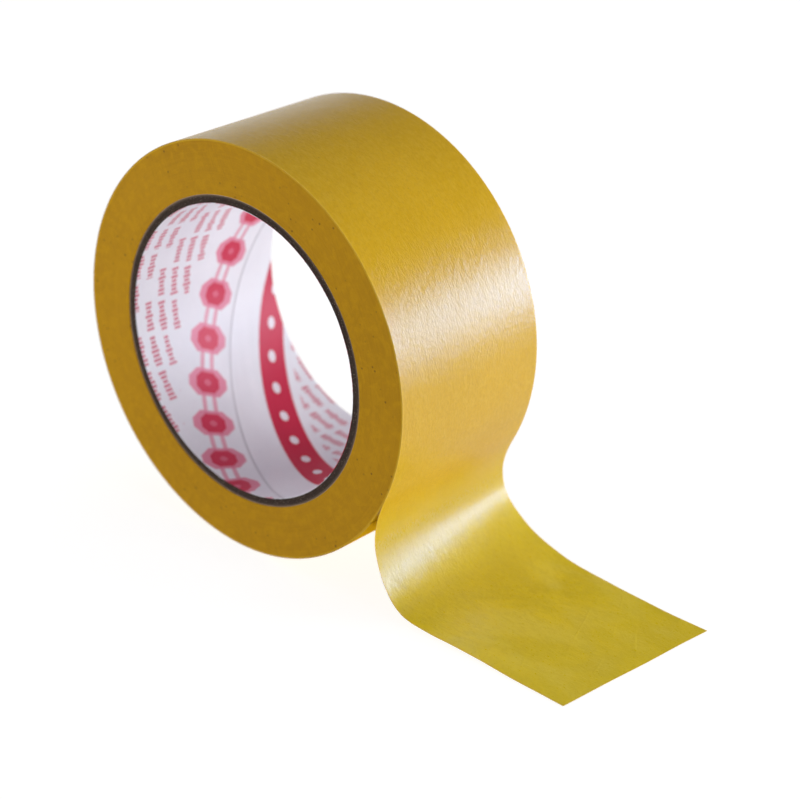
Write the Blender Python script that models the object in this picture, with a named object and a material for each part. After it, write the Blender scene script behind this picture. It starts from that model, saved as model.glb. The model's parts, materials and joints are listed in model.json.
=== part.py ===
"""Roll of paper masking tape standing on its rim, with its free end drawn off.

Built in millimetres and scaled to metres, +Z up.  The origin is the centre of
the core's bore at mid width and the roll's axis is Y.  The front face is at -Y
and the rear face at +Y.  The free end (the tail) leaves the roll on the +X
side, bends over and lies flat at the level the rim stands on.

Structure: a spiral-wound board core (printed liner, five grey board plies and
a thin kraft wrap, every layer a strip butted edge to edge along its own helical
seam), the wound tape pack, the outermost turn of tape, and the tail in six
lengths that hinge on one another where the strip flexes.  The outer turn and
the tail are each a paper backing with an adhesive coat on the inner side.

Angles round the roll are in degrees from +X towards +Z.
"""
import math

import bmesh
import bpy
from mathutils import Vector

MM = 0.001

# ---------------------------------------------------------------- dimensions
# Tape
TAPE_WIDTH = 50.0
HALF_WIDTH = TAPE_WIDTH / 2
BACKING_T = 0.055
ADHESIVE_T = 0.025
LAYER_GAP = 0.003            # backing to adhesive
TAPE_T = BACKING_T + LAYER_GAP + ADHESIVE_T

# Roll
ROLL_R = 54.5
STRIP_MID_R = ROLL_R - TAPE_T / 2
FLOOR_Z = -ROLL_R

# Core, from the bore outwards
CORE_BORE_R = 38.35
LINER_T = 0.12
PLY_T = 0.38
PLY_COUNT = 5
WRAP_T = 0.10
GLUE_GAP = 0.02              # between one core layer and the next
CORE_OUTER_R = (CORE_BORE_R + LINER_T + PLY_COUNT * PLY_T + WRAP_T
                + (PLY_COUNT + 1) * GLUE_GAP)
CORE_RECESS = 0.2            # each end of the core lies this far inside the tape's face
CORE_HALF_WIDTH = HALF_WIDTH - CORE_RECESS

# Helical seams of the core
HELIX_LEAD = 124.0           # axial advance of a board strip per turn
LINER_SEAM_ANGLE = 148.5     # where the liner's seam meets the tape's rear face plane
PLY_SEAM_STEP = 67.0         # degrees each layer's seam is turned from the last
SEAM_GAP = 0.30              # open butt joint along each seam

# Wound pack
PACK_IN_GAP = 0.05           # wrap to first turn of tape
PACK_OUT_GAP = 0.04          # last wound turn to the loose outer turn
PACK_IN_R = CORE_OUTER_R + PACK_IN_GAP
PACK_OUT_R = ROLL_R - TAPE_T - PACK_OUT_GAP

# Outer turn and tail; strip lengths are measured from the peel line
PEEL_ANGLE = -28.0           # where the strip leaves the roll
BARE_PACK_ANGLE = 6.5        # degrees of bare pack below the peel line
BEND_LENGTH = 55.0           # strip length to where it lies flat
TAIL_LENGTH = 81.4           # strip length to the cut end
END_SKEW = 4.7               # the cut end reaches this much further at the rear
HINGES = (0.0, 9.0, 20.0, 31.0, 47.0, 64.0)   # strip lengths of the flex lines
FLEX_GAP = 0.30              # clear length at each flex line

# Mesh resolution
CORE_FACETS = 60
PACK_FACETS = 120
MAX_BEND_STEP = 1.6          # longest straight step along the bent tail
FLAT_STEPS = 2               # steps along a wholly flat length
CURVE_STEPS = 480            # walking steps along the bend's centre line
BISECTIONS = 60
MIN_EASE_LENGTH = 2.0        # lower bound when solving the bend
MERGE_DISTANCE = 1e-4
KEY_DIGITS = 3               # rounding that lets neighbouring cells share vertices
SHARP_ANGLE = 30.0           # edges bent by more than this stay sharp


# ------------------------------------------------------------------- objects
def clear_scene():
    for ob in list(bpy.data.objects):
        bpy.data.objects.remove(ob, do_unlink=True)


def material(name, colour, roughness):
    mat = bpy.data.materials.new(name)
    mat.use_nodes = True
    shader = mat.node_tree.nodes["Principled BSDF"]
    shader.inputs["Base Color"].default_value = (*colour, 1.0)
    shader.inputs["Roughness"].default_value = roughness
    return mat


def axis_empty(name, offset=(0, 0, 0), parent=None):
    """An empty placed at an offset in millimetres from its parent."""
    empty = bpy.data.objects.new(name, None)
    empty.empty_display_size = 0.01
    empty.location = Vector(offset) * MM
    empty.parent = parent
    bpy.context.scene.collection.objects.link(empty)
    return empty


def add_object(name, bm, mat, parent, origin=(0, 0, 0)):
    """Turn a bmesh in millimetres into an object whose origin is on its parent axis."""
    bmesh.ops.recalc_face_normals(bm, faces=bm.faces)
    for vert in bm.verts:
        vert.co = (vert.co - Vector(origin)) * MM
    mesh = bpy.data.meshes.new(name)
    bm.to_mesh(mesh)
    bm.free()
    mesh.materials.append(mat)
    mesh.shade_smooth()
    mesh.set_sharp_from_angle(angle=math.radians(SHARP_ANGLE))
    ob = bpy.data.objects.new(name, mesh)
    bpy.context.scene.collection.objects.link(ob)
    ob.parent = parent


# ------------------------------------------------------------- wound sheets
# A sheet is first laid out flat as cells, one per facet it touches.  A cell is
# a convex polygon of (angle, y) points.
def clip(cell, side):
    """Keep the part of a cell where the linear function side(point) >= 0."""
    kept = []
    for start, end in zip(cell, cell[1:] + cell[:1]):
        side_start, side_end = side(start), side(end)
        if side_start >= 0:
            kept.append(start)
        if side_start > 0 > side_end or side_start < 0 < side_end:
            t = side_start / (side_start - side_end)
            kept.append((start[0] + (end[0] - start[0]) * t,
                         start[1] + (end[1] - start[1]) * t))
    return kept


def drop_repeats(cell):
    """Remove points that coincide with the one before, going round the cell."""
    kept = []
    for point in cell:
        if not kept or math.dist(point, kept[-1]) > MERGE_DISTANCE:
            kept.append(point)
    if len(kept) > 2 and math.dist(kept[0], kept[-1]) <= MERGE_DISTANCE:
        kept.pop()
    return kept


def sheet_cells(facets, start_angle, span, half_width):
    """Cells of a sheet that covers span degrees from start_angle(y) at each y."""
    step = 360.0 / facets
    front, rear = -half_width, half_width
    starts = (start_angle(front), start_angle(rear))
    first = math.floor(min(starts) / step)
    end = math.ceil((max(starts) + span) / step)
    cells = []
    for i in range(first, end):
        low, high = i * step, (i + 1) * step
        cell = [(low, front), (high, front), (high, rear), (low, rear)]
        cell = clip(cell, lambda p: p[0] - start_angle(p[1]))
        cell = clip(cell, lambda p: start_angle(p[1]) + span - p[0])
        cell = drop_repeats(cell)
        if len(cell) > 2:
            cells.append(cell)
    return cells


def on_facets(angle, y, radius, facets):
    """A point on the faceted cylinder round the Y axis."""
    step = 360.0 / facets
    i = math.floor(angle / step + 1e-9)
    t = angle / step - i
    low, high = math.radians(i * step), math.radians((i + 1) * step)
    x = radius * (math.cos(low) * (1 - t) + math.cos(high) * t)
    z = radius * (math.sin(low) * (1 - t) + math.sin(high) * t)
    return Vector((x, y, z))


def wound_sheet(inner_r, outer_r, facets, start_angle, span, half_width):
    """One turn of sheet, its two ends facing each other across a gap."""
    bm = bmesh.new()
    verts = {}

    def key(point):
        return round(point[0], KEY_DIGITS), round(point[1], KEY_DIGITS)

    def vert(point, radius):
        place = (key(point), radius)
        if place not in verts:
            verts[place] = bm.verts.new(on_facets(*point, radius, facets))
        return verts[place]

    border = {}
    for cell in sheet_cells(facets, start_angle, span, half_width):
        bm.faces.new([vert(point, outer_r) for point in cell])
        bm.faces.new([vert(point, inner_r) for point in reversed(cell)])
        for start, end in zip(cell, cell[1:] + cell[:1]):
            # An edge met again in reverse is shared by two cells, so not on the border.
            reverse = (key(end), key(start))
            if reverse in border:
                del border[reverse]
            else:
                border[(key(start), key(end))] = (start, end)
    for start, end in border.values():
        bm.faces.new([vert(end, outer_r), vert(start, outer_r),
                      vert(start, inner_r), vert(end, inner_r)])
    return bm


def ring(inner_r, outer_r, facets, half_width):
    """A plain annulus: a rectangle spun round the Y axis."""
    bm = bmesh.new()
    profile = [(inner_r, -half_width), (outer_r, -half_width),
               (outer_r, half_width), (inner_r, half_width)]
    loop = [bm.verts.new((x, y, 0.0)) for x, y in profile]
    for start, end in zip(loop, loop[1:] + loop[:1]):
        bm.edges.new((start, end))
    bmesh.ops.spin(bm, geom=bm.verts[:] + bm.edges[:], cent=(0, 0, 0), axis=(0, -1, 0),
                   angle=math.tau, steps=facets, use_merge=True)
    bmesh.ops.remove_doubles(bm, verts=bm.verts, dist=MERGE_DISTANCE)
    return bm


# --------------------------------------------------------------- tail curve
def walk_bend(curvature, ease_length):
    """Stations (x, z, heading) of the strip's centre line from the peel line.

    The curvature holds, then eases off evenly to nothing over the last
    ease_length millimetres of the bend.  Headings are in radians.
    """
    peel = math.radians(PEEL_ANGLE)
    x, z = STRIP_MID_R * math.cos(peel), STRIP_MID_R * math.sin(peel)
    heading = peel - math.pi / 2
    stations = [(x, z, heading)]
    step = BEND_LENGTH / CURVE_STEPS
    for i in range(CURVE_STEPS):
        to_go = BEND_LENGTH - (i + 0.5) * step
        turn = curvature * min(1.0, to_go / ease_length) * step
        middle = heading + turn / 2
        x += math.cos(middle) * step
        z += math.sin(middle) * step
        heading += turn
        stations.append((x, z, heading))
    return stations


def solve_bend(end_z):
    """Bisect for the ease-off length that lands the strip at end_z, lying flat."""
    turn = math.radians(90.0 - PEEL_ANGLE)
    low, high = MIN_EASE_LENGTH, BEND_LENGTH
    for _ in range(BISECTIONS):
        ease_length = (low + high) / 2
        stations = walk_bend(turn / (BEND_LENGTH - ease_length / 2), ease_length)
        if stations[-1][1] > end_z:
            high = ease_length
        else:
            low = ease_length
    return stations


FLAT_Z = FLOOR_Z + TAPE_T / 2     # centre line of the flat strip
BEND = solve_bend(FLAT_Z)


def tail_at(length):
    """Centre line (x, z, heading) at a strip length."""
    if length >= BEND_LENGTH:
        return BEND[-1][0] + (length - BEND_LENGTH), FLAT_Z, 0.0
    place = length / BEND_LENGTH * CURVE_STEPS
    i = min(int(place), CURVE_STEPS - 1)
    t = place - i
    return tuple(a + (b - a) * t for a, b in zip(BEND[i], BEND[i + 1]))


def strip_piece(begin, end, low, high, skew):
    """A length of strip between offsets low and high from the centre line.

    Positive offsets are on the roll's outer side, which is the top where the
    strip lies flat.  skew lengthens the rear edge's far end and shortens the
    front edge's by half each.
    """
    bm = bmesh.new()
    if begin < BEND_LENGTH:
        steps = max(1, math.ceil((end - begin) / MAX_BEND_STEP))
    else:
        steps = FLAT_STEPS
    corners = ((-HALF_WIDTH, low), (-HALF_WIDTH, high), (HALF_WIDTH, high), (HALF_WIDTH, low))
    sections = []
    for i in range(steps + 1):
        section = []
        for y, offset in corners:
            length = begin + (end - begin) * i / steps
            if i == steps:
                length += math.copysign(skew / 2, y)
            x, z, heading = tail_at(length)
            section.append(bm.verts.new((x - math.sin(heading) * offset, y,
                                         z + math.cos(heading) * offset)))
        sections.append(section)
    for near, far in zip(sections, sections[1:]):
        for j in range(4):
            k = (j + 1) % 4
            bm.faces.new((near[j], near[k], far[k], far[j]))
    bm.faces.new(sections[0])
    bm.faces.new(sections[-1])
    return bm


# -------------------------------------------------------------------- pieces
def build_core(axis):
    """Liner, board plies and wrap, each with its seam turned from the last."""
    layers = [("core_liner", LINER_T, LINER)]
    layers += [(f"core_ply_{i + 1}", PLY_T, BOARD) for i in range(PLY_COUNT)]
    layers += [("core_wrap", WRAP_T, KRAFT)]
    radius = CORE_BORE_R
    for i, (name, thickness, mat) in enumerate(layers):
        rear_angle = LINER_SEAM_ANGLE + i * PLY_SEAM_STEP

        def seam_angle(y):
            return rear_angle + (HALF_WIDTH - y) * 360.0 / HELIX_LEAD

        span = 360.0 - math.degrees(SEAM_GAP / radius)
        sheet = wound_sheet(radius, radius + thickness, CORE_FACETS, seam_angle, span,
                            CORE_HALF_WIDTH)
        add_object(name, sheet, mat, axis)
        radius += thickness + GLUE_GAP


def build_pack(axis):
    """All the wound turns as one solid."""
    add_object("tape_pack", ring(PACK_IN_R, PACK_OUT_R, PACK_FACETS, HALF_WIDTH), WOUND, axis)


def build_outer_turn(axis):
    """The outermost turn, from the peel line round to just below it."""
    half_gap = math.degrees(FLEX_GAP / 2 / STRIP_MID_R)
    span = 360.0 - BARE_PACK_ANGLE - half_gap
    adhesive_r = ROLL_R - BACKING_T - LAYER_GAP
    for name, outer_r, thickness, mat in (
        ("outer_turn_backing", ROLL_R, BACKING_T, BACKING),
        ("outer_turn_adhesive", adhesive_r, ADHESIVE_T, ADHESIVE),
    ):
        sheet = wound_sheet(outer_r - thickness, outer_r, PACK_FACETS,
                            lambda y: PEEL_ANGLE + half_gap, span, HALF_WIDTH)
        add_object(name, sheet, mat, axis)


def build_tail(axis):
    """One length per flex line, each hinged on the one before."""
    top = TAPE_T / 2
    layers = (
        ("backing", top - BACKING_T, top, BACKING),
        ("adhesive", -top, -top + ADHESIVE_T, ADHESIVE),
    )
    parent, parent_point = axis, Vector((0, 0, 0))
    for i, hinge_length in enumerate(HINGES):
        begin = hinge_length + FLEX_GAP / 2
        if i == len(HINGES) - 1:
            end, skew = TAIL_LENGTH, END_SKEW
        else:
            end, skew = HINGES[i + 1] - FLEX_GAP / 2, 0.0
        x, z, _ = tail_at(hinge_length)
        point = Vector((x, 0, z))
        hinge = axis_empty(f"tail_{i + 1}_axis", point - parent_point, parent)
        for layer, low, high, mat in layers:
            add_object(f"tail_{i + 1}_{layer}", strip_piece(begin, end, low, high, skew),
                       mat, hinge, point)
        parent, parent_point = hinge, point


# --------------------------------------------------------------------- build
clear_scene()

LINER = material("printed_liner", colour=(0.62, 0.60, 0.66), roughness=0.65)
BOARD = material("grey_chipboard", colour=(0.115, 0.095, 0.080), roughness=0.90)
KRAFT = material("kraft_wrap", colour=(0.33, 0.22, 0.13), roughness=0.85)
WOUND = material("wound_tape_pack", colour=(0.40, 0.22, 0.015), roughness=0.60)
BACKING = material("tape_backing", colour=(0.56, 0.36, 0.020), roughness=0.50)
ADHESIVE = material("adhesive_coat", colour=(0.52, 0.38, 0.060), roughness=0.35)

roll_axis = axis_empty("roll_axis")
build_core(roll_axis)
build_pack(roll_axis)

unwind_axis = axis_empty("unwind_axis")
build_outer_turn(unwind_axis)
build_tail(unwind_axis)
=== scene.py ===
"""Looks for a roll of masking tape: wound pack, board core, printed lining and drawn-off tail.

The roll's axis is Y and passes through the origin; +Y is the rear.  The roll stands on the floor at
Z = -ROLL_R.  The tail leaves it low on the +X side, curls down and lies along the floor towards +X.
Sizes are in millimetres unless a comment says otherwise.
"""
import json
import math

import bmesh
import bpy
import numpy as np
from mathutils import Matrix, Vector

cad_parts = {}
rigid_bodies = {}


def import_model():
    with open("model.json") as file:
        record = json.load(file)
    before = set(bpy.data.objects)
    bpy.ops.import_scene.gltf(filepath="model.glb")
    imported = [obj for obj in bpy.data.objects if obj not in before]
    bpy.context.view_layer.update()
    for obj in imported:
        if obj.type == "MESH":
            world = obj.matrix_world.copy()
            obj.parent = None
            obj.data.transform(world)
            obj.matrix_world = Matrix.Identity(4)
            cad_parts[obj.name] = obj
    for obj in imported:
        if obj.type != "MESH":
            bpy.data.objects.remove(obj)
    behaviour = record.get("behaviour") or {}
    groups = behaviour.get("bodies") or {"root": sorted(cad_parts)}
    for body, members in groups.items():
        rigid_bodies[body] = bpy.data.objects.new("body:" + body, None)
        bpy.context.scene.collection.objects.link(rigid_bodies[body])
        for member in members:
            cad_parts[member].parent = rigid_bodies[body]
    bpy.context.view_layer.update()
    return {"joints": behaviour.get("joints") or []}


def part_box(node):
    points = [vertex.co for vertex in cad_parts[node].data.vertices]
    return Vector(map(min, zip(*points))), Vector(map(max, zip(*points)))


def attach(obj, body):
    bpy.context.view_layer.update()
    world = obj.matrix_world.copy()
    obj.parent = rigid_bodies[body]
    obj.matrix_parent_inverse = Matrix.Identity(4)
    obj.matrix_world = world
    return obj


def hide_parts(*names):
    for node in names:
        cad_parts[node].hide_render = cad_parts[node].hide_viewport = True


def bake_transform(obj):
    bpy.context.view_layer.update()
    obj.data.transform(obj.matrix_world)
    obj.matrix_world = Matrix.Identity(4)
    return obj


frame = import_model()
MM = 0.001


# ------------------------------------------------------------ sizes from the frame
def top_corner(node):
    """Upper corner of a CAD node's box."""
    return np.array(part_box(node)[1]) / MM


ADHESIVE_T = 0.025
ROLL_R = top_corner("outer_turn_backing")[2]
HALF = top_corner("tape_pack")[1]                        # half the tape's width
CORE_HALF = top_corner("core_ply_1")[1]
STRIP_T = ROLL_R - (top_corner("outer_turn_adhesive")[2] - ADHESIVE_T)
FLOOR = -ROLL_R
pull = np.array(next(j for j in frame["joints"] if j["name"] == "tail_pull")["pos_m"]) / MM
PEEL = math.degrees(math.atan2(pull[2], pull[0]))        # where the strip leaves the roll
MID_R = math.hypot(pull[0], pull[2])                     # middle of the outer turn's thickness

# ------------------------------------------------------------ core and pack sizes
BORE_R = 38.35
LINING_T, PLY_T, WRAP_T = 0.12, 0.38, 0.13
PLY_COUNT = 5
LAYER_GAP = 0.02
CORE_R = BORE_R + LINING_T + LAYER_GAP + PLY_COUNT * (PLY_T + LAYER_GAP) + WRAP_T
PACK_IN = CORE_R + LAYER_GAP
PACK_OUT = ROLL_R - STRIP_T - 0.04

LEAD = 124.0                                             # of the helical seams
HELIX = math.atan2(LEAD, math.tau * BORE_R)              # helix angle from the hoop direction
SEAM_AT = 148.5                                          # degrees, lining's seam at the rear end
SEAM_STEP = 67.0                                         # degrees from one layer's seam to the next

# ------------------------------------------------------------ tail sizes
HINGE_AT = [0.0, 9.0, 20.0, 31.0, 47.0, 64.0]            # strip length past the peel line
LAP = 8.0                                                # degrees of tail still on the roll
START = PEEL + LAP
ON_ROLL = math.radians(LAP) * MID_R
TURN_GAP = 6.5                                           # degrees, outer turn's end to peel line
FRONT_LEAVE, REAR_LEAVE = PEEL + 3.8, PEEL + 0.8         # degrees where each edge leaves the roll
FRONT_CUT_X, REAR_CUT_X = 106.5, 111.9                   # corners of the cut end
SHARP_ANGLE = 40.0                                       # degrees


# ------------------------------------------------------------ small maths
def smooth(x, start, end):
    t = np.clip((np.asarray(x, float) - start) / (end - start), 0, 1)
    return t * t * (3 - 2 * t)


def value_noise(count_i, count_j, cells_i, cells_j, seed, wrap=False):
    """Smooth value noise on a grid, about -1..1; wrap closes it along i."""
    grid = np.random.default_rng(seed).uniform(-1, 1, (cells_i + 2, cells_j + 2))
    if wrap:
        grid[cells_i] = grid[0]
        grid[cells_i + 1] = grid[1]
    at_i = np.linspace(0, cells_i, count_i, endpoint=not wrap)
    at_j = np.linspace(0, cells_j, count_j)
    i, j = np.floor(at_i).astype(int), np.floor(at_j).astype(int)
    part_i = smooth(at_i - i, 0, 1)[:, None]
    part_j = smooth(at_j - j, 0, 1)[None]
    low = grid[np.ix_(i, j)] * (1 - part_i) + grid[np.ix_(i + 1, j)] * part_i
    high = grid[np.ix_(i, j + 1)] * (1 - part_i) + grid[np.ix_(i + 1, j + 1)] * part_i
    return low * (1 - part_j) + high * part_j


def about_axis(radius, angle, y):
    """Points at a radius and angle (radians) about the roll's axis."""
    return np.stack([radius * np.cos(angle), y, radius * np.sin(angle)], -1)


# ------------------------------------------------------------ mesh building
def add_object(name, mesh):
    ob = bpy.data.objects.new(name, mesh)
    bpy.context.scene.collection.objects.link(ob)
    return ob


def finish_mesh(name, verts, faces, face_mats, mats, uvs):
    """uvs is {layer: array of one (u, v) per vertex}."""
    mesh = bpy.data.meshes.new(name)
    mesh.from_pydata((verts * MM).tolist(), [], faces.tolist())
    for mat in mats:
        mesh.materials.append(mat)
    mesh.polygons.foreach_set("material_index", face_mats)
    for layer, data in uvs.items():
        corners = np.asarray(data[faces.ravel()], np.float32)
        mesh.uv_layers.new(name=layer).data.foreach_set("uv", corners.ravel())
    mesh.validate()
    mesh.update()
    mesh.shade_smooth()
    mesh.set_sharp_from_angle(angle=math.radians(SHARP_ANGLE))
    return add_object(name, mesh)


def sheet(name, outer, inner, mats, **uvs):
    """A closed thin sheet from two point grids [i, j, 3]; i runs along, j runs across.

    mats: outer face, inner face, cut edges.  uvs: one [i, j, 2] grid per layer.
    The outer normal is d(i) x d(j).
    """
    rows, cols = outer.shape[:2]
    verts = np.concatenate([outer.reshape(-1, 3), inner.reshape(-1, 3)])
    out = np.arange(rows * cols).reshape(rows, cols)
    inn = out + rows * cols
    top = np.stack([part.ravel() for part in
                    (out[:-1, :-1], out[1:, :-1], out[1:, 1:], out[:-1, 1:])], 1)
    bottom = top[:, ::-1] + rows * cols
    side = np.concatenate([
        np.stack([out[1:, 0], out[:-1, 0], inn[:-1, 0], inn[1:, 0]], 1),
        np.stack([out[:-1, -1], out[1:, -1], inn[1:, -1], inn[:-1, -1]], 1),
        np.stack([out[0, :-1], out[0, 1:], inn[0, 1:], inn[0, :-1]], 1),
        np.stack([out[-1, 1:], out[-1, :-1], inn[-1, :-1], inn[-1, 1:]], 1)])
    faces = np.concatenate([top, bottom, side])
    face_mats = [0] * len(top) + [1] * len(bottom) + [2] * len(side)
    layers = {key: np.concatenate([grid.reshape(-1, 2)] * 2) for key, grid in uvs.items()}
    return finish_mesh(name, verts, faces, face_mats, mats, layers)


# ------------------------------------------------------------ node helpers
class Shader:
    """Short calls that add nodes to a tree; an input may be a socket or a plain value."""

    def __init__(self, tree):
        self.tree = tree

    def put(self, sock, value):
        if hasattr(value, "is_output"):
            self.tree.links.new(value, sock)
        elif isinstance(value, tuple) and len(value) == 3 and sock.type == "RGBA":
            sock.default_value = (*value, 1.0)
        else:
            sock.default_value = value

    def node(self, kind, inputs=None, **props):
        made = self.tree.nodes.new("ShaderNode" + kind)
        for key, value in props.items():
            setattr(made, key, value)
        for key, value in (inputs or {}).items():
            self.put(made.inputs[key], value)
        return made

    def math(self, operation, first, second=0.0, third=None):
        inputs = {0: first, 1: second}
        if third is not None:
            inputs[2] = third
        return self.node("Math", inputs, operation=operation).outputs[0]

    def add(self, first, second):
        return self.math("ADD", first, second)

    def sub(self, first, second):
        return self.math("SUBTRACT", first, second)

    def mul(self, first, second):
        return self.math("MULTIPLY", first, second)

    def mul_add(self, value, factor, plus):
        return self.math("MULTIPLY_ADD", value, factor, plus)

    def size(self, value):
        return self.math("ABSOLUTE", value)

    def hypot(self, first, second):
        return self.math("SQRT", self.add(self.mul(first, first), self.mul(second, second)))

    def uv(self, layer):
        return self.node("UVMap", uv_map=layer).outputs[0]

    def coords(self, kind="Object"):
        return self.node("TexCoord").outputs[kind]

    def object_mm(self):
        return self.stretch(self.coords(), (1000.0, 1000.0, 1000.0))

    def split(self, vector):
        return tuple(self.node("SeparateXYZ", {0: vector}).outputs)

    def join(self, x, y, z=0.0):
        return self.node("CombineXYZ", {0: x, 1: y, 2: z}).outputs[0]

    def stretch(self, vector, factors):
        """Scales per axis; two factors leave z alone."""
        inputs = {0: vector, 1: (*factors, 1.0)[:3]}
        return self.node("VectorMath", inputs, operation="MULTIPLY").outputs[0]

    def noise(self, vector, stretch=None, scale=1.0, detail=3.0, rough=0.55, distortion=0.0):
        if stretch:
            vector = self.stretch(vector, stretch)
        inputs = {"Vector": vector, "Scale": scale, "Detail": detail, "Roughness": rough,
                  "Distortion": distortion}
        return self.node("TexNoise", inputs).outputs["Fac"]

    def voronoi(self, vector, stretch=None, scale=1.0, feature="F1"):
        if stretch:
            vector = self.stretch(vector, stretch)
        inputs = {"Vector": vector, "Scale": scale}
        return self.node("TexVoronoi", inputs, feature=feature).outputs["Distance"]

    def ramp(self, value, over, to=(0.0, 1.0), kind="SMOOTHSTEP"):
        """Maps the range `over` to the range `to`, held at the ends."""
        inputs = {"Value": value, "From Min": over[0], "From Max": over[1],
                  "To Min": to[0], "To Max": to[1]}
        return self.node("MapRange", inputs, interpolation_type=kind).outputs["Result"]

    def mix(self, factor, first, second):
        inputs = {"Factor": factor, 6: first, 7: second}
        return self.node("Mix", inputs, data_type="RGBA").outputs[2]

    def tint(self, base, colour, mask, over, amount=1.0):
        """Brings colour in over base as mask runs through `over`, up to amount."""
        return self.mix(self.ramp(mask, over, (0.0, amount)), base, colour)

    def bump(self, height, distance, strength=1.0, normal=None):
        """distance is in metres."""
        inputs = {"Height": height, "Distance": distance, "Strength": strength}
        if normal is not None:
            inputs["Normal"] = normal
        return self.node("Bump", inputs).outputs[0]


class Material(Shader):
    def __init__(self, name):
        self.made = bpy.data.materials.new(name)
        self.made.use_nodes = True
        super().__init__(self.made.node_tree)

    def finish(self, **inputs):
        """Fills the surface's inputs and gives the material."""
        for key, value in inputs.items():
            self.put(self.tree.nodes["Principled BSDF"].inputs[key.replace("_", " ")], value)
        return self.made


def srgb(*levels):
    """sRGB 0-255 to linear."""
    parts = [level / 255 for level in levels]
    return tuple(c / 12.92 if c <= 0.04045 else ((c + 0.055) / 1.055) ** 2.4 for c in parts)


# ------------------------------------------------------------ colours
WOUND_BASE, WOUND_BROAD = srgb(215, 170, 10), srgb(221, 175, 16)
WOUND_STREAK, WOUND_FINE = srgb(226, 182, 40), srgb(200, 154, 10)
FREE_BASE, FREE_CLOUD, FREE_PALE = srgb(229, 201, 1), srgb(244, 215, 5), srgb(247, 222, 24)
# the pale bluish satin tone is a painted sheen for the flat of the tail, not a colour of the tape
FREE_STREAK, FREE_END, FREE_PAINTED_SHEEN = srgb(214, 184, 8), srgb(241, 214, 18), srgb(242, 221, 88)
FACE_SPECK = srgb(120, 84, 20)
GUM_BASE, GUM_BLOT, GUM_STREAK = srgb(206, 176, 74), srgb(190, 156, 50), srgb(216, 190, 96)
CUT_PALE, CUT_DARK = srgb(214, 172, 48), srgb(196, 150, 34)
SIDE_BASE, SIDE_BROAD, SIDE_PALE = srgb(184, 135, 15), srgb(176, 128, 13), srgb(196, 147, 22)
SIDE_LAYER, SIDE_KNIFE = srgb(160, 115, 12), srgb(150, 109, 15)
SIDE_SPECK, SIDE_DUST = srgb(88, 62, 26), srgb(110, 80, 24)
# painted highlight: a light line along the edges where they catch the light, not a colour of the
# tape
PAINTED_RIM_HIGHLIGHT = srgb(236, 196, 60)
BOARD_BASE, BOARD_GRAIN, BOARD_FUZZ = srgb(56, 44, 38), srgb(72, 58, 50), srgb(112, 97, 84)
BOARD_LAYER, BOARD_FLECK, BOARD_RIM = srgb(44, 34, 28), srgb(150, 136, 122), srgb(124, 108, 94)
KRAFT_PALE, KRAFT_DARK = srgb(186, 158, 132), srgb(160, 132, 106)
PAPER, PAPER_CLOUD, PAPER_FIBRE = srgb(228, 228, 236), srgb(222, 222, 231), srgb(210, 208, 219)
RED, BAND_RED, TICK_RED = srgb(198, 42, 75), srgb(190, 31, 66), srgb(194, 54, 88)
PINK = srgb(215, 120, 147)
SEAM_GREY = srgb(150, 146, 156)
# reflections are tinted blue, which takes the yellow out of the gloss
GLOSS_WOUND, GLOSS_FREE = (0.15, 0.52, 1.0), (0.27, 0.49, 1.0)


# ------------------------------------------------------------ materials
# The "strip" layer is (length past the peel line, place across), in mm, on the tape.
def washi_relief(mat, strip):
    """Fibre relief of thin paper: streaks along the length and a finer mat."""
    streak = mat.noise(strip, stretch=(0.40, 1.05), detail=4, rough=0.62, distortion=0.9)
    fine = mat.noise(strip, stretch=(1.2, 2.8), detail=3, rough=0.65, distortion=0.6)
    fibres = mat.voronoi(strip, stretch=(0.7, 2.0), feature="SMOOTH_F1")
    relief = mat.mul_add(streak, factor=0.55, plus=mat.mul(fine, 0.50))
    return mat.mul_add(fibres, factor=0.2, plus=relief), streak, fine


def free_colour(mat, strip, along, streak, fine):
    """Colour of a single layer, clouded where it isn't quite down on the surface, with painted sheen
    in pale patches on the flat part.
    """
    cloud = mat.noise(strip, stretch=(0.060, 0.085), detail=4, rough=0.55, distortion=0.6)
    small = mat.noise(strip, stretch=(0.30, 0.24), detail=3, rough=0.6, distortion=0.4)
    flat = mat.ramp(along, over=(28, 46), to=(0.35, 1))
    clouding = mat.mul(mat.ramp(cloud, over=(0.42, 0.62)), flat)
    colour = mat.mix(clouding, FREE_BASE, FREE_CLOUD)
    clouding = mat.mul(mat.ramp(small, over=(0.52, 0.74), to=(0, 0.45)), flat)
    colour = mat.mix(clouding, colour, FREE_PALE)
    # painted sheen: pale bluish patches on the flat part stand in for its satin gleam
    painted_sheen = mat.noise(strip, stretch=(0.055, 0.10), detail=3, rough=0.5, distortion=0.3)
    painted_sheen = mat.mul(mat.ramp(painted_sheen, over=(0.46, 0.62), to=(0, 0.58)),
                    mat.ramp(along, over=(30, 50)))
    colour = mat.mix(painted_sheen, colour, FREE_PAINTED_SHEEN)
    colour = mat.tint(colour, FREE_PALE, fine, over=(0.42, 0.70), amount=0.34)
    colour = mat.tint(colour, FREE_STREAK, streak, over=(0.42, 0.68), amount=0.30)
    return mat.tint(colour, FREE_END, along, over=(34, 78), amount=0.55)


def creases(mat, strip, along, across):
    """Thin slanting creases pressed into the free end, 0..1."""
    slant = mat.join(mat.add(mat.mul(along, 0.110), mat.mul(across, 0.060)),
                     mat.sub(mat.mul(across, 0.022), mat.mul(along, 0.012)))
    fold = mat.noise(slant, detail=2, rough=0.5, distortion=0.15)
    line = mat.ramp(mat.size(mat.sub(fold, 0.5)), over=(0, 0.05), to=(1, 0))
    line = mat.mul(line, mat.ramp(along, over=(28, 48)))
    keep = mat.noise(strip, stretch=(0.09, 0.09), detail=2)
    return mat.mul(line, mat.ramp(keep, over=(0.42, 0.62)))


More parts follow.
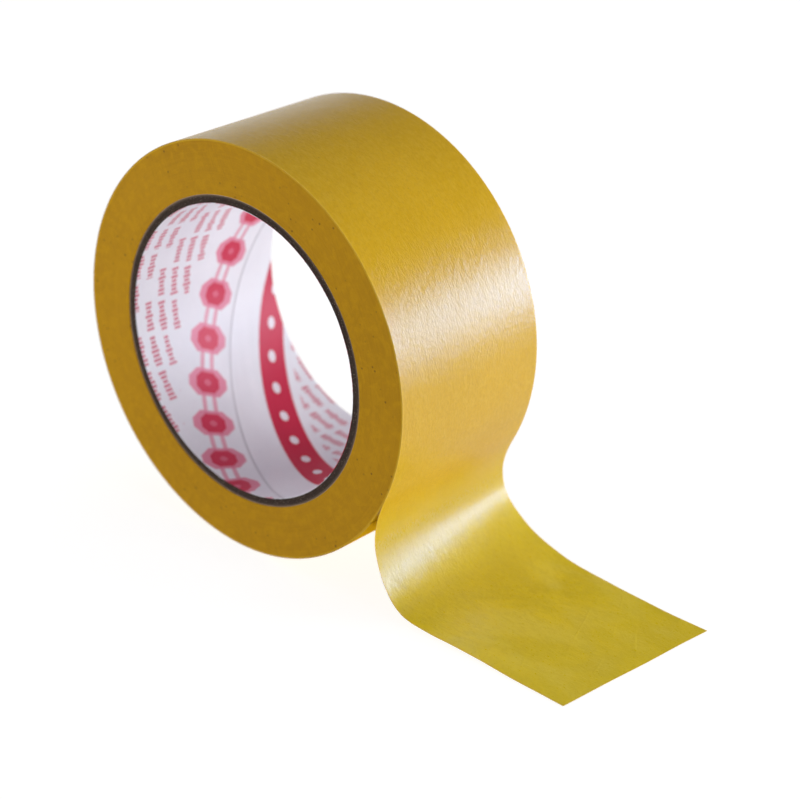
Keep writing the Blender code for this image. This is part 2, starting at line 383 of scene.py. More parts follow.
def face_gloss(mat, along, across):
    """Specular level of the backing."""
    # fibres stand up and hide the gloss at glancing angles
    facing = mat.node("LayerWeight").outputs["Facing"]
    level = mat.ramp(facing, over=(0.86, 0.98), to=(0.9, 0.2))
    # the underside next to the peel line, and the crook where the strip leaves, hardly shine
    up = mat.split(mat.node("NewGeometry").outputs["Normal"])[2]
    open_side = mat.math("MAXIMUM", mat.ramp(up, over=(-0.52, -0.472)),
                         mat.ramp(along, over=(-310, -255)))
    level = mat.mul(level, open_side)
    crook_middle = 2.0                                   # mm before the peel line
    crook = mat.size(mat.add(along, crook_middle))
    level = mat.mul(level, mat.ramp(crook, over=(3, 9), to=(0.55, 1)))
    # seen nearly edge on, the free layer stays paper and doesn't mirror the panels
    edge_on = mat.mul(mat.ramp(along, over=(4, 10)), mat.ramp(facing, over=(0.62, 0.76)))
    level = mat.mul(level, mat.sub(1.0, edge_on))
    # the rear half is a little duller once it is off the roll
    dull = mat.mul(mat.ramp(along, over=(6, 12)),
                   mat.ramp(across, over=(-20, 24), to=(-0.06, 0.30)))
    return mat.mul(level, mat.sub(1.0, dull))


def tape_face():
    """The paper backing: opaque on the roll, thinner and greener where a single layer is free."""
    mat = Material("tape_face")
    strip = mat.uv("strip")
    along, across, _ = mat.split(strip)
    relief, streak, fine = washi_relief(mat, strip)

    broad = mat.noise(strip, stretch=(0.03, 0.05), detail=2, rough=0.5)
    wound = mat.tint(WOUND_BASE, WOUND_BROAD, broad, over=(0.3, 0.7))
    wound = mat.tint(wound, WOUND_STREAK, streak, over=(0.40, 0.64), amount=0.70)
    wound = mat.tint(wound, WOUND_FINE, fine, over=(0.46, 0.68), amount=0.62)
    free = free_colour(mat, strip, along, streak, fine)
    colour = mat.tint(wound, free, along, over=(-3, 22))
    speck = mat.voronoi(strip, stretch=(0.25, 0.25))
    colour = mat.tint(colour, FACE_SPECK, speck, over=(0.045, 0.02), amount=0.35)
    # painted highlight along the tape's long edges
    colour = mat.tint(colour, PAINTED_RIM_HIGHLIGHT, mat.size(across), over=(HALF - 0.55, HALF - 0.12),
                      amount=0.55)
    crease = creases(mat, strip, along, across)
    crease_tint = 0.14
    colour = mat.mix(mat.mul(crease, crease_tint), colour, FREE_PALE)

    # the fibres stand lower off the roll, and lower again on the floor
    slow = mat.noise(strip, stretch=(0.16, 0.22), detail=3, rough=0.55, distortion=0.4)
    relief = mat.mul(relief, mat.ramp(along, over=(6, 16), to=(1, 0.62)))
    relief = mat.mul(relief, mat.ramp(along, over=(24, 44), to=(1, 0.75)))
    normal = mat.bump(relief, distance=0.000135)
    normal = mat.bump(slow, distance=0.00013, normal=normal)
    normal = mat.bump(crease, distance=0.00004, strength=0.8, normal=normal)
    rough = mat.add(mat.ramp(fine, over=(0.2, 0.8), to=(0.17, 0.25)),
                    mat.ramp(along, over=(6, 14), to=(0, 0.09)))
    return mat.finish(
        Base_Color=colour, Roughness=rough, Normal=normal,
        Specular_IOR_Level=face_gloss(mat, along, across),
        IOR=mat.ramp(along, over=(6, 12), to=(1.5, 1.67)),
        Specular_Tint=mat.tint(GLOSS_WOUND, GLOSS_FREE, along, over=(4, 10)))


def tape_gum():
    """Adhesive side: the same paper seen through a clear tacky coat."""
    mat = Material("tape_gum")
    strip = mat.uv("strip")
    relief, streak, _ = washi_relief(mat, strip)
    blot = mat.noise(strip, stretch=(0.2, 0.2))
    colour = mat.tint(GUM_BASE, GUM_BLOT, blot, over=(0.35, 0.7))
    colour = mat.tint(colour, GUM_STREAK, streak, over=(0.4, 0.7), amount=0.3)
    return mat.finish(Base_Color=colour,
                      Roughness=mat.ramp(blot, over=(0.3, 0.7), to=(0.22, 0.38)),
                      Normal=mat.bump(relief, distance=0.00003, strength=0.6),
                      Coat_Weight=0.4, Coat_Roughness=0.2)


def tape_cut():
    """Slit edge of a single strip."""
    mat = Material("tape_cut")
    grain = mat.noise(mat.uv("strip"), stretch=(1.4, 1.4), detail=2)
    return mat.finish(Base_Color=mat.mix(grain, CUT_PALE, CUT_DARK), Roughness=0.55,
                      Normal=mat.bump(grain, distance=0.00002, strength=0.5))


def pack_side():
    """Slit side of the pack: hundreds of strip edges, faint rings, knife marks and specks."""
    mat = Material("pack_side")
    mm = mat.object_mm()
    x, _, z = mat.split(mm)
    radius = mat.hypot(x, z)
    angle = mat.math("ARCTAN2", z, x)
    round_scale = 1.5                                    # how fast the rings change on the way round
    polar = mat.join(radius, mat.mul(mat.math("COSINE", angle), round_scale),
                     mat.mul(mat.math("SINE", angle), round_scale))
    rings = mat.noise(polar, stretch=(2.2, 0.5, 0.5), detail=4, rough=0.7)
    layers = mat.noise(polar, stretch=(9.0, 0.9, 0.9), detail=2, rough=0.6)
    broad = mat.noise(mm, stretch=(0.035, 0.035, 0.035), detail=2)
    mottle = mat.noise(mm, stretch=(0.40, 0.2, 0.40), detail=5, rough=0.72, distortion=0.5)
    # knife marks: straight scratches at a slant across the face
    slant = math.radians(24)
    cos_slant, sin_slant = math.cos(slant), math.sin(slant)
    over_mark = mat.add(mat.mul(x, cos_slant), mat.mul(z, sin_slant))
    along_mark = mat.sub(mat.mul(z, cos_slant), mat.mul(x, sin_slant))
    marks = mat.join(mat.mul(over_mark, 3.0), mat.mul(along_mark, 0.07))
    knife = mat.noise(marks, detail=3, rough=0.65)

    colour = mat.tint(SIDE_BASE, SIDE_BROAD, broad, over=(0.32, 0.68))
    colour = mat.tint(colour, SIDE_PALE, rings, over=(0.36, 0.66), amount=0.34)
    colour = mat.tint(colour, SIDE_LAYER, layers, over=(0.40, 0.70), amount=0.26)
    colour = mat.tint(colour, SIDE_PALE, mottle, over=(0.42, 0.66), amount=0.62)
    colour = mat.tint(colour, SIDE_KNIFE, knife, over=(0.50, 0.74), amount=0.30)
    spot = mat.voronoi(mm, stretch=(0.42, 0.42, 0.42))
    keep = mat.noise(mm, stretch=(0.11, 0.11, 0.11), detail=2)
    speck = mat.mul(mat.ramp(spot, over=(0.17, 0.07)), mat.ramp(keep, over=(0.47, 0.57)))
    speck_amount, dust_amount = 0.72, 0.20
    colour = mat.mix(mat.mul(speck, speck_amount), colour, SIDE_SPECK)
    dust = mat.ramp(mat.voronoi(mm, stretch=(1.3, 1.3, 1.3)), over=(0.16, 0.06))
    colour = mat.mix(mat.mul(dust, dust_amount), colour, SIDE_DUST)
    # painted highlight along the outer rim of the side face
    colour = mat.tint(colour, PAINTED_RIM_HIGHLIGHT, radius, over=(ROLL_R - 0.65, ROLL_R - 0.20), amount=0.50)
    relief = mat.mul_add(layers, factor=0.5, plus=mat.mul(rings, 0.5))
    relief = mat.mul_add(knife, factor=0.25, plus=relief)
    return mat.finish(Base_Color=colour,
                      Roughness=mat.ramp(mottle, over=(0.3, 0.7), to=(0.52, 0.66)),
                      Normal=mat.bump(relief, distance=0.00005, strength=0.7),
                      Specular_IOR_Level=0.06)


def board_edge():
    """Cut end of the grey board: rough, fibrous, faintly layered."""
    mat = Material("board_edge")
    mm = mat.object_mm()
    x, _, z = mat.split(mm)
    radius = mat.hypot(x, z)
    grain = mat.noise(mm, scale=2.2, detail=5, rough=0.7)
    fuzz = mat.noise(mm, scale=6.5, detail=3, rough=0.65)
    layers_per_mm = 4.5
    layers = mat.noise(mat.join(mat.mul(radius, layers_per_mm), 0.0), detail=2, rough=0.6)
    fleck = mat.voronoi(mm, scale=1.6)
    colour = mat.tint(BOARD_BASE, BOARD_GRAIN, grain, over=(0.35, 0.68))
    colour = mat.tint(colour, BOARD_FUZZ, fuzz, over=(0.56, 0.72), amount=0.6)
    colour = mat.tint(colour, BOARD_LAYER, layers, over=(0.45, 0.62), amount=0.35)
    colour = mat.tint(colour, BOARD_FLECK, fleck, over=(0.26, 0.12), amount=0.55)
    ragged = mat.mul_add(fuzz, factor=0.7, plus=radius)
    colour = mat.tint(colour, BOARD_RIM, ragged, over=(40.15, 40.75), amount=0.55)
    relief = mat.mul_add(grain, factor=0.6, plus=mat.mul(fuzz, 0.4))
    return mat.finish(Base_Color=colour, Roughness=0.92,
                      Normal=mat.bump(relief, distance=0.00016, strength=0.9),
                      Specular_IOR_Level=0.2)


def kraft_edge():
    """Brown wrap round the board."""
    mat = Material("kraft_edge")
    grain = mat.noise(mat.object_mm(), scale=3.0, detail=4, rough=0.65)
    return mat.finish(Base_Color=mat.tint(KRAFT_PALE, KRAFT_DARK, grain, over=(0.35, 0.7)),
                      Roughness=0.85, Normal=mat.bump(grain, distance=0.00008, strength=0.8))


# ------------------------------------------------------------ printed lining
# "strip" here is (distance round the bore, Y); "helix" is (along, across) the wound lining
# strip, across being 0 at its seam.
CHAIN_ACROSS, CHAIN_PITCH, CHAIN_SHIFT = -7.6, 12.2, 5.9
BAND_ACROSS, BAND_HALF, BAND_PITCH, BAND_SHIFT = 13.9, 4.2, 9.65, 2.6
WINDOW_ALONG, WINDOW_ACROSS = 1.75, 1.15                 # half sizes of the oval windows
ROW_Y, ROW_PITCH, ROW_STAGGER, ROW_PHASE = -20.3, 4.5, 8.5, 17.5
RUN_PITCH, RUN_LENGTH = 34.0, 28.4                       # runs of ticks in a row
RUN_OFFSET = 3600.0                                      # keeps the run distance positive
WORD_PITCH, TICK_PITCH = 9.6, 1.2
INK_SOFT, INK_WOBBLE = 0.32, 0.22                        # softness and wander of printed edges
DIAGONAL = 0.7071
HASH_TICK, HASH_ROW, HASH_GAIN = 12.9898, 78.233, 43758.5    # scramble for tick heights


def repeat(mat, along, shift, pitch):
    """Distance from the nearest mark of a row with this pitch."""
    return mat.math("PINGPONG", mat.add(along, shift), pitch / 2)


def tick_rows(mat, around, y, across):
    """Rows of upright ticks of random height, grouped in words and runs, clear of the bands."""
    row = mat.math("DIVIDE", mat.sub(y, ROW_Y), ROW_PITCH)
    row_id = mat.math("FLOOR", mat.add(row, 0.5))
    off_row = mat.size(mat.mul(mat.sub(row, row_id), ROW_PITCH))
    run = mat.add(mat.mul_add(row_id, ROW_STAGGER, around), ROW_PHASE)
    in_pitch = mat.math("MODULO", mat.add(run, RUN_OFFSET), RUN_PITCH)
    in_word_pitch = mat.math("MODULO", in_pitch, WORD_PITCH)
    in_run = mat.mul(mat.ramp(in_pitch, over=(0, 0.4)),
                     mat.ramp(in_pitch, over=(RUN_LENGTH - 0.4, RUN_LENGTH), to=(1, 0)))
    in_word = mat.mul(mat.ramp(in_word_pitch, over=(0, 0.3)),
                      mat.ramp(in_word_pitch, over=(7.9, 8.3), to=(1, 0)))
    tick_id = mat.math("FLOOR", mat.math("DIVIDE", run, TICK_PITCH))
    mixed = mat.add(mat.mul(tick_id, HASH_TICK), mat.mul(row_id, HASH_ROW))
    random = mat.math("FRACT", mat.mul(mat.math("SINE", mixed), HASH_GAIN))
    half_height = mat.mul_add(random, factor=0.60, plus=0.72)
    tick = mat.ramp(mat.math("PINGPONG", run, TICK_PITCH / 2), over=(0.06, 0.30))
    inside = mat.ramp(mat.sub(off_row, half_height), over=(-0.22, 0.22), to=(1, 0))
    ticks = mat.mul(mat.mul(mat.mul(inside, tick), in_run), in_word)
    past_band, past_chain = BAND_ACROSS + BAND_HALF, CHAIN_ACROSS
    clear = mat.math("MAXIMUM",
                     mat.ramp(across, over=(past_band + 2.2, past_band + 2.6)),
                     mat.ramp(across, over=(past_chain - 8.9, past_chain - 8.5), to=(1, 0)))
    return mat.mul(ticks, clear)


def liner_print():
    """White lining paper with a chain of cut-corner blocks, a band with oval windows and ticks."""
    mat = Material("liner_print")
    wall = mat.uv("strip")
    helix = mat.uv("helix")
    around, y, _ = mat.split(wall)
    along, across, _ = mat.split(helix)
    width = LEAD * math.cos(HELIX)
    past_half = mat.math("GREATER_THAN", across, width / 2)
    across = mat.sub(across, mat.mul(past_half, width))
    wobble = mat.noise(wall, stretch=(1.1, 1.1), detail=2)
    wobble = mat.mul(mat.sub(wobble, 0.5), INK_WOBBLE)
    fibre = mat.noise(wall, stretch=(0.8, 2.4), detail=4, rough=0.65)
    cloud = mat.noise(wall, stretch=(0.06, 0.06))
    paper = mat.tint(PAPER, PAPER_CLOUD, cloud, over=(0.3, 0.7))
    paper = mat.tint(paper, PAPER_FIBRE, fibre, over=(0.5, 0.78), amount=0.35)

    def inside(value, edge):
        """1 where value < edge, soft at the edge."""
        return mat.ramp(mat.sub(mat.add(value, wobble), edge), over=(-INK_SOFT, INK_SOFT),
                        to=(1, 0))

    off_chain = mat.size(mat.sub(across, CHAIN_ACROSS))
    off_block = repeat(mat, along, CHAIN_SHIFT, CHAIN_PITCH)

    def block(half_along, half_across, corner):
        """A rectangle with its corners cut."""
        past_end = mat.sub(off_block, half_along)
        past_side = mat.sub(off_chain, half_across)
        reach = half_along + half_across - corner
        cut = mat.mul(mat.sub(mat.add(off_block, off_chain), reach), DIAGONAL)
        return inside(mat.math("MAXIMUM", mat.math("MAXIMUM", past_end, past_side), cut), 0.0)

    outer_block = block(half_along=3.9, half_across=5.9, corner=2.6)
    inner_block = block(half_along=2.9, half_across=3.5, corner=1.6)
    heart = block(half_along=0.9, half_across=1.1, corner=0.7)
    rail_at, rail_half = 1.55, 0.62                      # twin rails along the chain
    rails = inside(mat.size(mat.sub(off_chain, rail_at)), rail_half)
    rails = mat.mul(rails, 0.75)

    off_band = mat.sub(across, BAND_ACROSS)
    band = inside(mat.size(off_band), BAND_HALF)
    off_window = repeat(mat, along, BAND_SHIFT, BAND_PITCH)
    squares = [mat.math("POWER", mat.math("DIVIDE", off, half), 2.0)
               for off, half in ((off_window, WINDOW_ALONG), (off_band, WINDOW_ACROSS))]
    oval = mat.math("SQRT", mat.add(*squares))
    window = mat.ramp(oval, over=(0.82, 1.18), to=(1, 0))
    ticks = tick_rows(mat, around, y, across)

    # ink strengths
    pink_ink, heart_ink, window_clear, tick_ink = 0.92, 0.55, 0.92, 0.80
    colour = mat.mix(rails, paper, PINK)
    colour = mat.mix(mat.mul(outer_block, pink_ink), colour, PINK)
    colour = mat.mix(inner_block, colour, RED)
    colour = mat.mix(mat.mul(heart, heart_ink), colour, PINK)
    colour = mat.mix(band, colour, BAND_RED)
    colour = mat.mix(mat.mul(mat.mul(band, window), window_clear), colour, PAPER)
    colour = mat.mix(mat.mul(ticks, tick_ink), colour, TICK_RED)
    # grey of the board showing along the butt joint
    seam = mat.ramp(mat.size(across), over=(0, 0.60), to=(0.40, 0))
    colour = mat.mix(seam, colour, SEAM_GREY)
    press = mat.noise(helix, stretch=(0.05, 0.5), detail=2, rough=0.5)
    relief = mat.mul_add(fibre, factor=0.4, plus=mat.mul(press, 0.6))
    return mat.finish(Base_Color=colour,
                      Roughness=mat.ramp(fibre, over=(0.3, 0.7), to=(0.46, 0.58)),
                      Normal=mat.bump(relief, distance=0.00006, strength=0.7),
                      Specular_IOR_Level=0.4)


FACE, GUM, CUT = tape_face(), tape_gum(), tape_cut()
SIDE, BOARD, KRAFT, LINER = pack_side(), board_edge(), kraft_edge(), liner_print()


# ------------------------------------------------------------ core
def core_layer(name, node, order, inner_r, thick, mats, seed,
               seam_gap=0.25, rows=240, cols=44, end_rough=0.05, ripple=0.0):
    """A strip wound once round the core, butting along a helical seam; order counts outwards."""
    seam = SEAM_AT + SEAM_STEP * order
    ys = np.linspace(-CORE_HALF, CORE_HALF, cols)
    gap = math.degrees(seam_gap / inner_r)
    begin = seam + (HALF - ys) * 360.0 / LEAD
    part = np.linspace(0, 1, rows)[:, None]
    degrees = begin[None] + gap / 2 + part * (360.0 - gap)
    y = np.tile(ys[None], (rows, 1))
    # ragged ends
    rough = np.random.default_rng(seed).normal(0, end_rough, (rows, 2))
    low = value_noise(rows, 2, 60, 1, seed + 1)
    y[:, 0] += np.abs(rough[:, 0]) * 0.5 - low[:, 0] * end_rough
    y[:, -1] -= np.abs(rough[:, 1]) * 0.5 + low[:, 1] * end_rough
    # the inner face ripples, and lifts at the starting edge
    lift_width, lift_gain = 1.2, 1.6
    lift = np.exp(-(part * math.tau * inner_r / lift_width) ** 2) * ripple * lift_gain
    inner_face = inner_r - value_noise(rows, cols, 40, 8, seed + 2) * ripple - lift

    angle = np.radians(degrees)
    around = angle * BORE_R
    across = (y - (HALF - (degrees - seam) * LEAD / 360.0)) * math.cos(HELIX)
    along = around * math.cos(HELIX) - y * math.sin(HELIX)
    ob = sheet(name, about_axis(inner_r + thick, angle, y)[:, ::-1],
               about_axis(inner_face, angle, y)[:, ::-1], mats,
               strip=np.stack([around, y], -1)[:, ::-1],
               helix=np.stack([along, across], -1)[:, ::-1])
    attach(ob, "roll")
    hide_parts(node)


def build_core():
    core_layer("bore_lining", "core_liner", 0, BORE_R, LINING_T,
               [BOARD, LINER, LINER], seed=11, seam_gap=0.10, rows=480, cols=60,
               end_rough=0.03, ripple=0.035)
    radius = BORE_R + LINING_T + LAYER_GAP
    for i in range(1, PLY_COUNT + 1):
        core_layer(f"board_ply_{i}", f"core_ply_{i}", i, radius, PLY_T,
                   [BOARD] * 3, seed=19 + i)
        radius += PLY_T + LAYER_GAP
    core_layer("kraft_sleeve", "core_wrap", PLY_COUNT + 1, radius, WRAP_T,
               [KRAFT] * 3, seed=40, end_rough=0.03)


# ------------------------------------------------------------ wound pack
def build_pack():
    """Closed section with slightly uneven sides, turned about Y."""
    turns, rings, wall = 480, 84, 6                      # steps round, over a side, along a wall
    radii = np.linspace(PACK_IN, PACK_OUT, rings)
    corner = (0.10 * smooth(radii, PACK_OUT - 0.30, PACK_OUT) ** 2
              + 0.05 * smooth(radii, PACK_IN + 0.3, PACK_IN) ** 2)

    def inset(ring_seed, wave_seed):
        """How far each side point lies inside the full width."""
        ring = np.random.default_rng(ring_seed).normal(0, 0.010, rings)
        wave = value_noise(turns, rings, 14, 18, wave_seed, wrap=True) * 0.012
        return np.clip(0.015 + ring[None] + wave, 0.0, 0.06) + corner[None]

    front = -HALF + inset(ring_seed=3, wave_seed=5)
    rear = HALF - inset(ring_seed=4, wave_seed=6)
    wall_y = np.tile(np.linspace(-HALF + 0.2, HALF - 0.2, wall), (turns, 1))
    y = np.concatenate([front, wall_y, rear[:, ::-1], wall_y[:, ::-1]], 1)
    radius = np.concatenate([radii, np.full(wall, PACK_OUT), radii[::-1],
                             np.full(wall, PACK_IN)])[None]
    angle = np.linspace(0, math.tau, turns, endpoint=False)[:, None]
    verts = about_axis(radius, angle, 0 * y)
    verts[..., 1] = y

    index = np.arange(y.size).reshape(y.shape)
    ahead = np.roll(index, -1, 0)
    faces = np.stack([index.ravel(), ahead.ravel(), np.roll(ahead, -1, 1).ravel(),
                      np.roll(index, -1, 1).ravel()], 1)
    section_mats = [0] * rings + [1] * wall + [0] * (rings + wall)
    paper_shift = 40.0                                   # pack's paper pattern against the strip's
    uv = np.stack([-angle * MID_R - paper_shift + 0 * y, y], -1)
    ob = finish_mesh("wound_pack", verts.reshape(-1, 3), faces, section_mats * turns,
                     [SIDE, FACE], {"strip": uv.reshape(-1, 2)})
    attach(ob, "roll")
    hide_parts("tape_pack")


# ------------------------------------------------------------ free strip's shape
# (distance from where the edge leaves the roll, direction its outer face looks in degrees)
FRONT_KNOTS = [
    (4.2, -20), (6.2, -16), (9.2, -9), (11.5, -3.4), (13.2, 1), (14.9, 7), (16.5, 14.5),
    (18.1, 17), (19.6, 18.5), (21.6, 22), (24.4, 29), (27, 36.5), (29.2, 44.5), (31, 53),
    (32.9, 61), (35.2, 72), (37.8, 80), (41.2, 86), (45, 90)]
REAR_KNOTS = [
    (2.6, -24), (4.7, -19.5), (6.8, -14), (8.7, -6.3), (10.5, 3), (12.2, 10), (13.6, 16),
    (16.3, 33), (18.9, 44), (20.8, 49.4), (22.7, 53), (24.7, 56.5), (26.8, 59), (28.9, 61.5),
    (31.1, 63), (33.3, 66), (35.7, 70.5), (38.4, 75), (41.3, 80), (44.6, 84), (50, 88), (56, 90)]


def edge_curve(leave, knots, length=110.0, samples=2200):
    """One edge of the free strip, leaving the roll's mid radius at angle `leave` and stretched so
    that it comes down to the floor.  Gives (length still on the roll, distances, x, z)."""
    dist = np.linspace(0, length, samples)
    step = dist[1] - dist[0]
    knot_at, knot_face = np.array([(0, leave), *knots], float).T
    pad = 12                                             # half width of the smoothing window
    window = np.hanning(2 * pad + 3)[1:-1] / (pad + 1)

    def walk(slope, begin):
        steps = (slope[1:] + slope[:-1]) / 2 * step
        return begin + np.concatenate([[0], np.cumsum(steps)])

    def run(stretch):
        face = np.interp(dist, knot_at * stretch, knot_face)
        face = np.convolve(np.pad(face, pad, mode="edge"), window, "valid")
        head = np.radians(face - 90.0)
        angle = math.radians(leave)
        return (walk(np.cos(head), MID_R * math.cos(angle)),
                walk(np.sin(head), MID_R * math.sin(angle)))

    low, high = 0.6, 1.5
    for _ in range(40):
        middle = (low + high) / 2
        x, z = run(middle)
        if z[-1] > FLOOR + STRIP_T / 2:
            low = middle
        else:
            high = middle
    return math.radians(START - leave) * MID_R, dist, x, z


FRONT = edge_curve(FRONT_LEAVE, FRONT_KNOTS)
REAR = edge_curve(REAR_LEAVE, REAR_KNOTS)


def length_to(edge, corner_x):
    """Strip length from START to where an edge reaches corner_x."""
    on_roll, dist, x, _ = edge
    return on_roll + float(np.interp(corner_x, x, dist))


def edge_at(length, edge):
    """Edge x and z at a length from START: round the roll, then along the free curve."""
    on_roll, dist, x, z = edge
    angle = math.radians(START) - np.minimum(length, on_roll) / MID_R
    free = np.maximum(length - on_roll, 0)
    held = length <= on_roll
    return (np.where(held, MID_R * np.cos(angle), np.interp(free, dist, x)),
            np.where(held, MID_R * np.sin(angle), np.interp(free, dist, z)))


def strip_mid(length, y):
    """Mid surface of the strip; length and y broadcast."""
    front_x, front_z = edge_at(length, FRONT)
    rear_x, rear_z = edge_at(length, REAR)
    part = (y + HALF) / (2 * HALF)
    x = front_x * (1 - part) + rear_x * part
    z = front_z * (1 - part) + rear_z * part
    # the flat part touches down gradually and cockles a little
    lift = 0.85 * smooth(length, 34, 46) * (1 - smooth(length, 50, 82))
    big, small = 0.16, 0.10
    cockle = (big * np.sin(length * 0.31 + y * 0.09 + 0.6) * np.cos(y * 0.16 - length * 0.07)
              + small * np.sin(length * 0.17 - y * 0.23 + 2.0))
    cockle = (cockle + big + small) * smooth(length, 46, 64) * 0.45
    # the free end lies a little askew
    askew = -1.05 * smooth(length, 50, 92)
    return np.stack([x, y + askew, z + lift + cockle], -1)


# ------------------------------------------------------------ strip pieces
STRIP_Y = np.concatenate([[-HALF], np.linspace(-HALF + 0.5, HALF - 0.5, 48), [HALF]])
# the pieces meet midway between hinges
CUTS = [0.0] + [ON_ROLL + (a + b) / 2 for a, b in zip(HINGE_AT, HINGE_AT[1:])]
STEP = 0.45                                              # length of a mesh step
END_STEPS = 84
SLOPE_STEP = 0.05


def tail_piece(i):
    """The stretch of tail round hinge i; the last one ends at the slanting cut."""
    begin = CUTS[i]
    last = i == len(CUTS) - 1
    if last:
        front_end, rear_end = length_to(FRONT, FRONT_CUT_X), length_to(REAR, REAR_CUT_X)
        end = front_end + (rear_end - front_end) * (STRIP_Y + HALF) / (2 * HALF)
        count = END_STEPS
    else:
        end = np.full(len(STRIP_Y), CUTS[i + 1])
        count = max(16, int((CUTS[i + 1] - begin) / STEP))
    length = begin + np.linspace(0, 1, count)[:, None] * (end[None] - begin)
    y = np.repeat(STRIP_Y[None], count, 0)
    mid = strip_mid(length, y)
    slope_along = (strip_mid(length + SLOPE_STEP, y)
                   - strip_mid(np.maximum(length - SLOPE_STEP, 0), y))
    slope_across = strip_mid(length, y + SLOPE_STEP) - strip_mid(length, y - SLOPE_STEP)
    normal = np.cross(slope_along, slope_across)
    normal /= np.linalg.norm(normal, axis=-1, keepdims=True)
    ob = sheet(f"strip_{i + 1}", mid + normal * STRIP_T / 2, mid - normal * STRIP_T / 2,
               [FACE, GUM, CUT], strip=np.stack([length - ON_ROLL, y], -1))

    # direction from the piece's first cut to its last
    way = mid[-1].mean(0) - mid[0].mean(0)
    way /= np.linalg.norm(way)
    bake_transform(ob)
    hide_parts(f"tail_{i + 1}_backing", f"tail_{i + 1}_adhesive")


def outer_turn():
    """Outermost turn, from where the tail begins round to just short of the peel line."""
    degrees = np.linspace(START, PEEL + 360.0 - TURN_GAP, 560)
    angle, y = np.meshgrid(np.radians(degrees), STRIP_Y, indexing="ij")
    uv = np.stack([-(angle - math.radians(PEEL)) * MID_R, y], -1)
    ob = sheet("strip_outer_turn", about_axis(MID_R + STRIP_T / 2, angle, y)[:, ::-1],
               about_axis(MID_R - STRIP_T / 2, angle, y)[:, ::-1], [FACE, GUM, CUT],
               strip=uv[:, ::-1])
    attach(ob, "outer_turn")
    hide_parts("outer_turn_backing", "outer_turn_adhesive")


def face_outwards():
    """Turns meshes that came out inside out."""
    for ob in bpy.context.scene.objects:
        if ob.type == "MESH" and not ob.hide_render:
            bm = bmesh.new()
            bm.from_mesh(ob.data)
            if bm.calc_volume(signed=True) < 0:
                bmesh.ops.reverse_faces(bm, faces=bm.faces)
                bm.to_mesh(ob.data)
            bm.free()


build_core()
build_pack()
for piece in range(len(HINGE_AT)):
    tail_piece(piece)
outer_turn()
face_outwards()


# ------------------------------------------------------------ stage (metres from here on)
FLOOR_Z = FLOOR * MM
PANEL_AZIMUTH = math.radians(55.0)
PANEL_DISTANCE = 0.40
PANEL_TOP = 0.21
WARM_WHITE = (1.0, 0.99, 0.98)


def floor():
    """Pale glowing floor; reflections see it dimmer close to the roll."""
    bm = bmesh.new()
    bmesh.ops.create_grid(bm, x_segments=2, y_segments=2, size=4.0)
    mesh = bpy.data.meshes.new("floor")
    bm.to_mesh(mesh)
    bm.free()
    ob = add_object("floor", mesh)
    clearance = 0.00025
    ob.location = (0, 0, FLOOR_Z - clearance)
    mat = Material("floor_pale")
    grain = mat.noise(mat.coords(), scale=3.0, detail=2)
    colour = mat.mix(grain, (0.24, 0.24, 0.24), (0.26, 0.26, 0.26))
    x, y, _ = mat.split(mat.coords())
    away = mat.hypot(x, y)
    reflected = mat.ramp(away, over=(0.10, 0.60), to=(0.46, 0.75))
    glossy = mat.node("LightPath").outputs["Is Glossy Ray"]
    cut = mat.mul(glossy, mat.sub(1.0, reflected))
    glow = mat.ramp(away, over=(0.25, 1.2), to=(0.885, 0.97))
    mesh.materials.append(mat.finish(
        Base_Color=colour, Roughness=0.9, Specular_IOR_Level=0.1,
        Emission_Color=(1.0, 1.0, 1.0), Emission_Strength=mat.mul(mat.sub(1.0, cut), glow)))


def area(name, direction, distance, size, watts, colour, aim=(0, 0, 0), gloss=False):
    """A soft panel, seen either by shading or, with gloss, by reflections only."""
    light = bpy.data.lights.new(name, "AREA")
    light.shape = "RECTANGLE"
    light.size, light.size_y = size
    light.energy = watts
    light.color = colour
    ob = bpy.data.objects.new(name, light)
    towards = Vector(direction).normalized()
    ob.location = Vector(aim) + towards * distance
    ob.rotation_euler = towards.to_track_quat("Z", "Y").to_euler()
    ob.visible_camera = False
    ob.visible_glossy = gloss
    ob.visible_diffuse = not gloss
    bpy.context.scene.collection.objects.link(ob)
    return ob


def highlight_panel(name, across, width, watts, stops, fade, colour):
    """Upright panel on the floor, off to +X +Y, for reflections.

    stops are (height 0..1, level).  Distances across run from the roll's axis towards -X +Y;
    the panel comes up from dark to full between the two values of fade.
    """
    bottom = FLOOR_Z + 0.002
    cos_az, sin_az = math.cos(PANEL_AZIMUTH), math.sin(PANEL_AZIMUTH)
    sideways = (-sin_az, cos_az, 0.0)
    ob = area(name, (cos_az, sin_az, 0.0), PANEL_DISTANCE, (width, PANEL_TOP - bottom), watts,
              colour, aim=(0, 0, (bottom + PANEL_TOP) / 2), gloss=True)
    ob.location += Vector(sideways) * across
    ob.data.use_nodes = True
    shader = Shader(ob.data.node_tree)
    position = shader.node("NewGeometry").outputs["Position"]
    height = shader.ramp(shader.split(position)[2], over=(bottom, PANEL_TOP), kind="LINEAR")
    levels = shader.node("ValToRGB", {"Fac": height})
    levels.color_ramp.interpolation = "EASE"
    while len(levels.color_ramp.elements) < len(stops):
        levels.color_ramp.elements.new(0.5)
    for element, (place, value) in zip(levels.color_ramp.elements, stops):
        element.position = place
        element.color = (value, value, value, 1.0)
    along = shader.node("VectorMath", {0: position, 1: sideways}, operation="DOT_PRODUCT")
    side = shader.ramp(along.outputs["Value"], over=fade, to=(0.0, 1.25), kind="LINEAR")
    strength = shader.mul(levels.outputs["Color"], side)
    shader.put(shader.tree.nodes["Emission"].inputs["Strength"], strength)


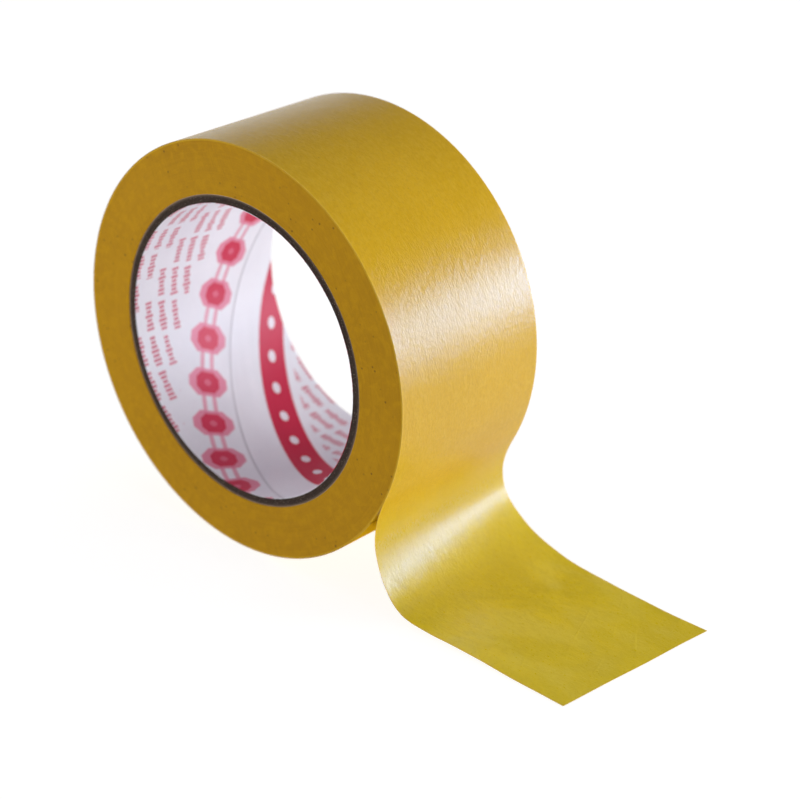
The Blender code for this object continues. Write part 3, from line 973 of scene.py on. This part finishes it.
def studio_world():
    """White to the eye, dim for shading; reflections see a white horizon and a dark top."""
    world = bpy.data.worlds.new("studio")
    bpy.context.scene.world = world
    world.use_nodes = True
    shader = Shader(world.node_tree)
    path = shader.node("LightPath")
    up = shader.split(shader.coords("Generated"))[2]
    reflected = shader.ramp(up, over=(0.10, 0.45), to=(0.72, 0.06))
    shading, seen = 0.18, 1.03
    level = shading
    for flag, value in (("Is Glossy Ray", reflected), ("Is Camera Ray", seen)):
        inputs = {"Factor": path.outputs[flag], 2: level, 3: value}
        level = shader.node("Mix", inputs).outputs[0]
    background = shader.tree.nodes["Background"]
    shader.put(background.inputs["Color"], (0.985, 0.99, 1.0))
    shader.put(background.inputs["Strength"], level)


def camera():
    cam = bpy.data.cameras.new("camera")
    cam.sensor_fit = "HORIZONTAL"
    cam.sensor_width = 36.0
    cam.lens = 98.505
    cam.clip_start, cam.clip_end = 0.01, 20.0
    cam.dof.use_dof = True
    cam.dof.focus_distance = 0.520
    cam.dof.aperture_fstop = 13.0
    right = Vector((0.74417686, 0.66766847, 0.02048422))
    up = Vector((-0.3066512, 0.31422557, 0.89845831))
    back = Vector((0.59343562, -0.6748934, 0.43858074))
    pose = Matrix((right, up, back)).transposed().to_4x4()
    pose.translation = Vector((0.35550, -0.36840, 0.22874))
    ob = bpy.data.objects.new("camera", cam)
    ob.matrix_world = pose
    bpy.context.scene.collection.objects.link(ob)
    bpy.context.scene.camera = ob


floor()
area("key_right_back", direction=(0.70, 0.70, 0.13), distance=1.1, size=(0.9, 0.26), watts=9.2,
     colour=WARM_WHITE)
area("top", direction=(0.04, 0.25, 1.0), distance=1.2, size=(1.2, 1.2), watts=5.45,
     colour=WARM_WHITE)
area("front_fill", direction=(-1.15, -0.80, -0.10), distance=0.37, size=(0.32, 0.32),
     watts=0.90, colour=(0.97, 0.98, 1.0))
highlight_panel("highlight_panel", across=0.0, width=0.34, watts=2.68,
                stops=((0.0, 0.25), (0.16, 0.36), (0.23, 0.98), (0.42, 1.0), (0.55, 0.55),
                       (0.70, 0.08), (1.0, 0.0)),
                fade=(-0.137, -0.069), colour=(0.70, 0.84, 1.0))
highlight_panel("tail_panel", across=-0.169, width=0.074, watts=0.50,
                stops=((0.0, 1.0), (0.30, 1.0), (0.55, 0.85), (0.80, 0.35), (1.0, 0.0)),
                fade=(-0.30, -0.20), colour=(0.58, 0.77, 1.0))
studio_world()
camera()
bpy.context.scene.view_settings.view_transform = "Standard"
bpy.context.scene.view_settings.look = "None"
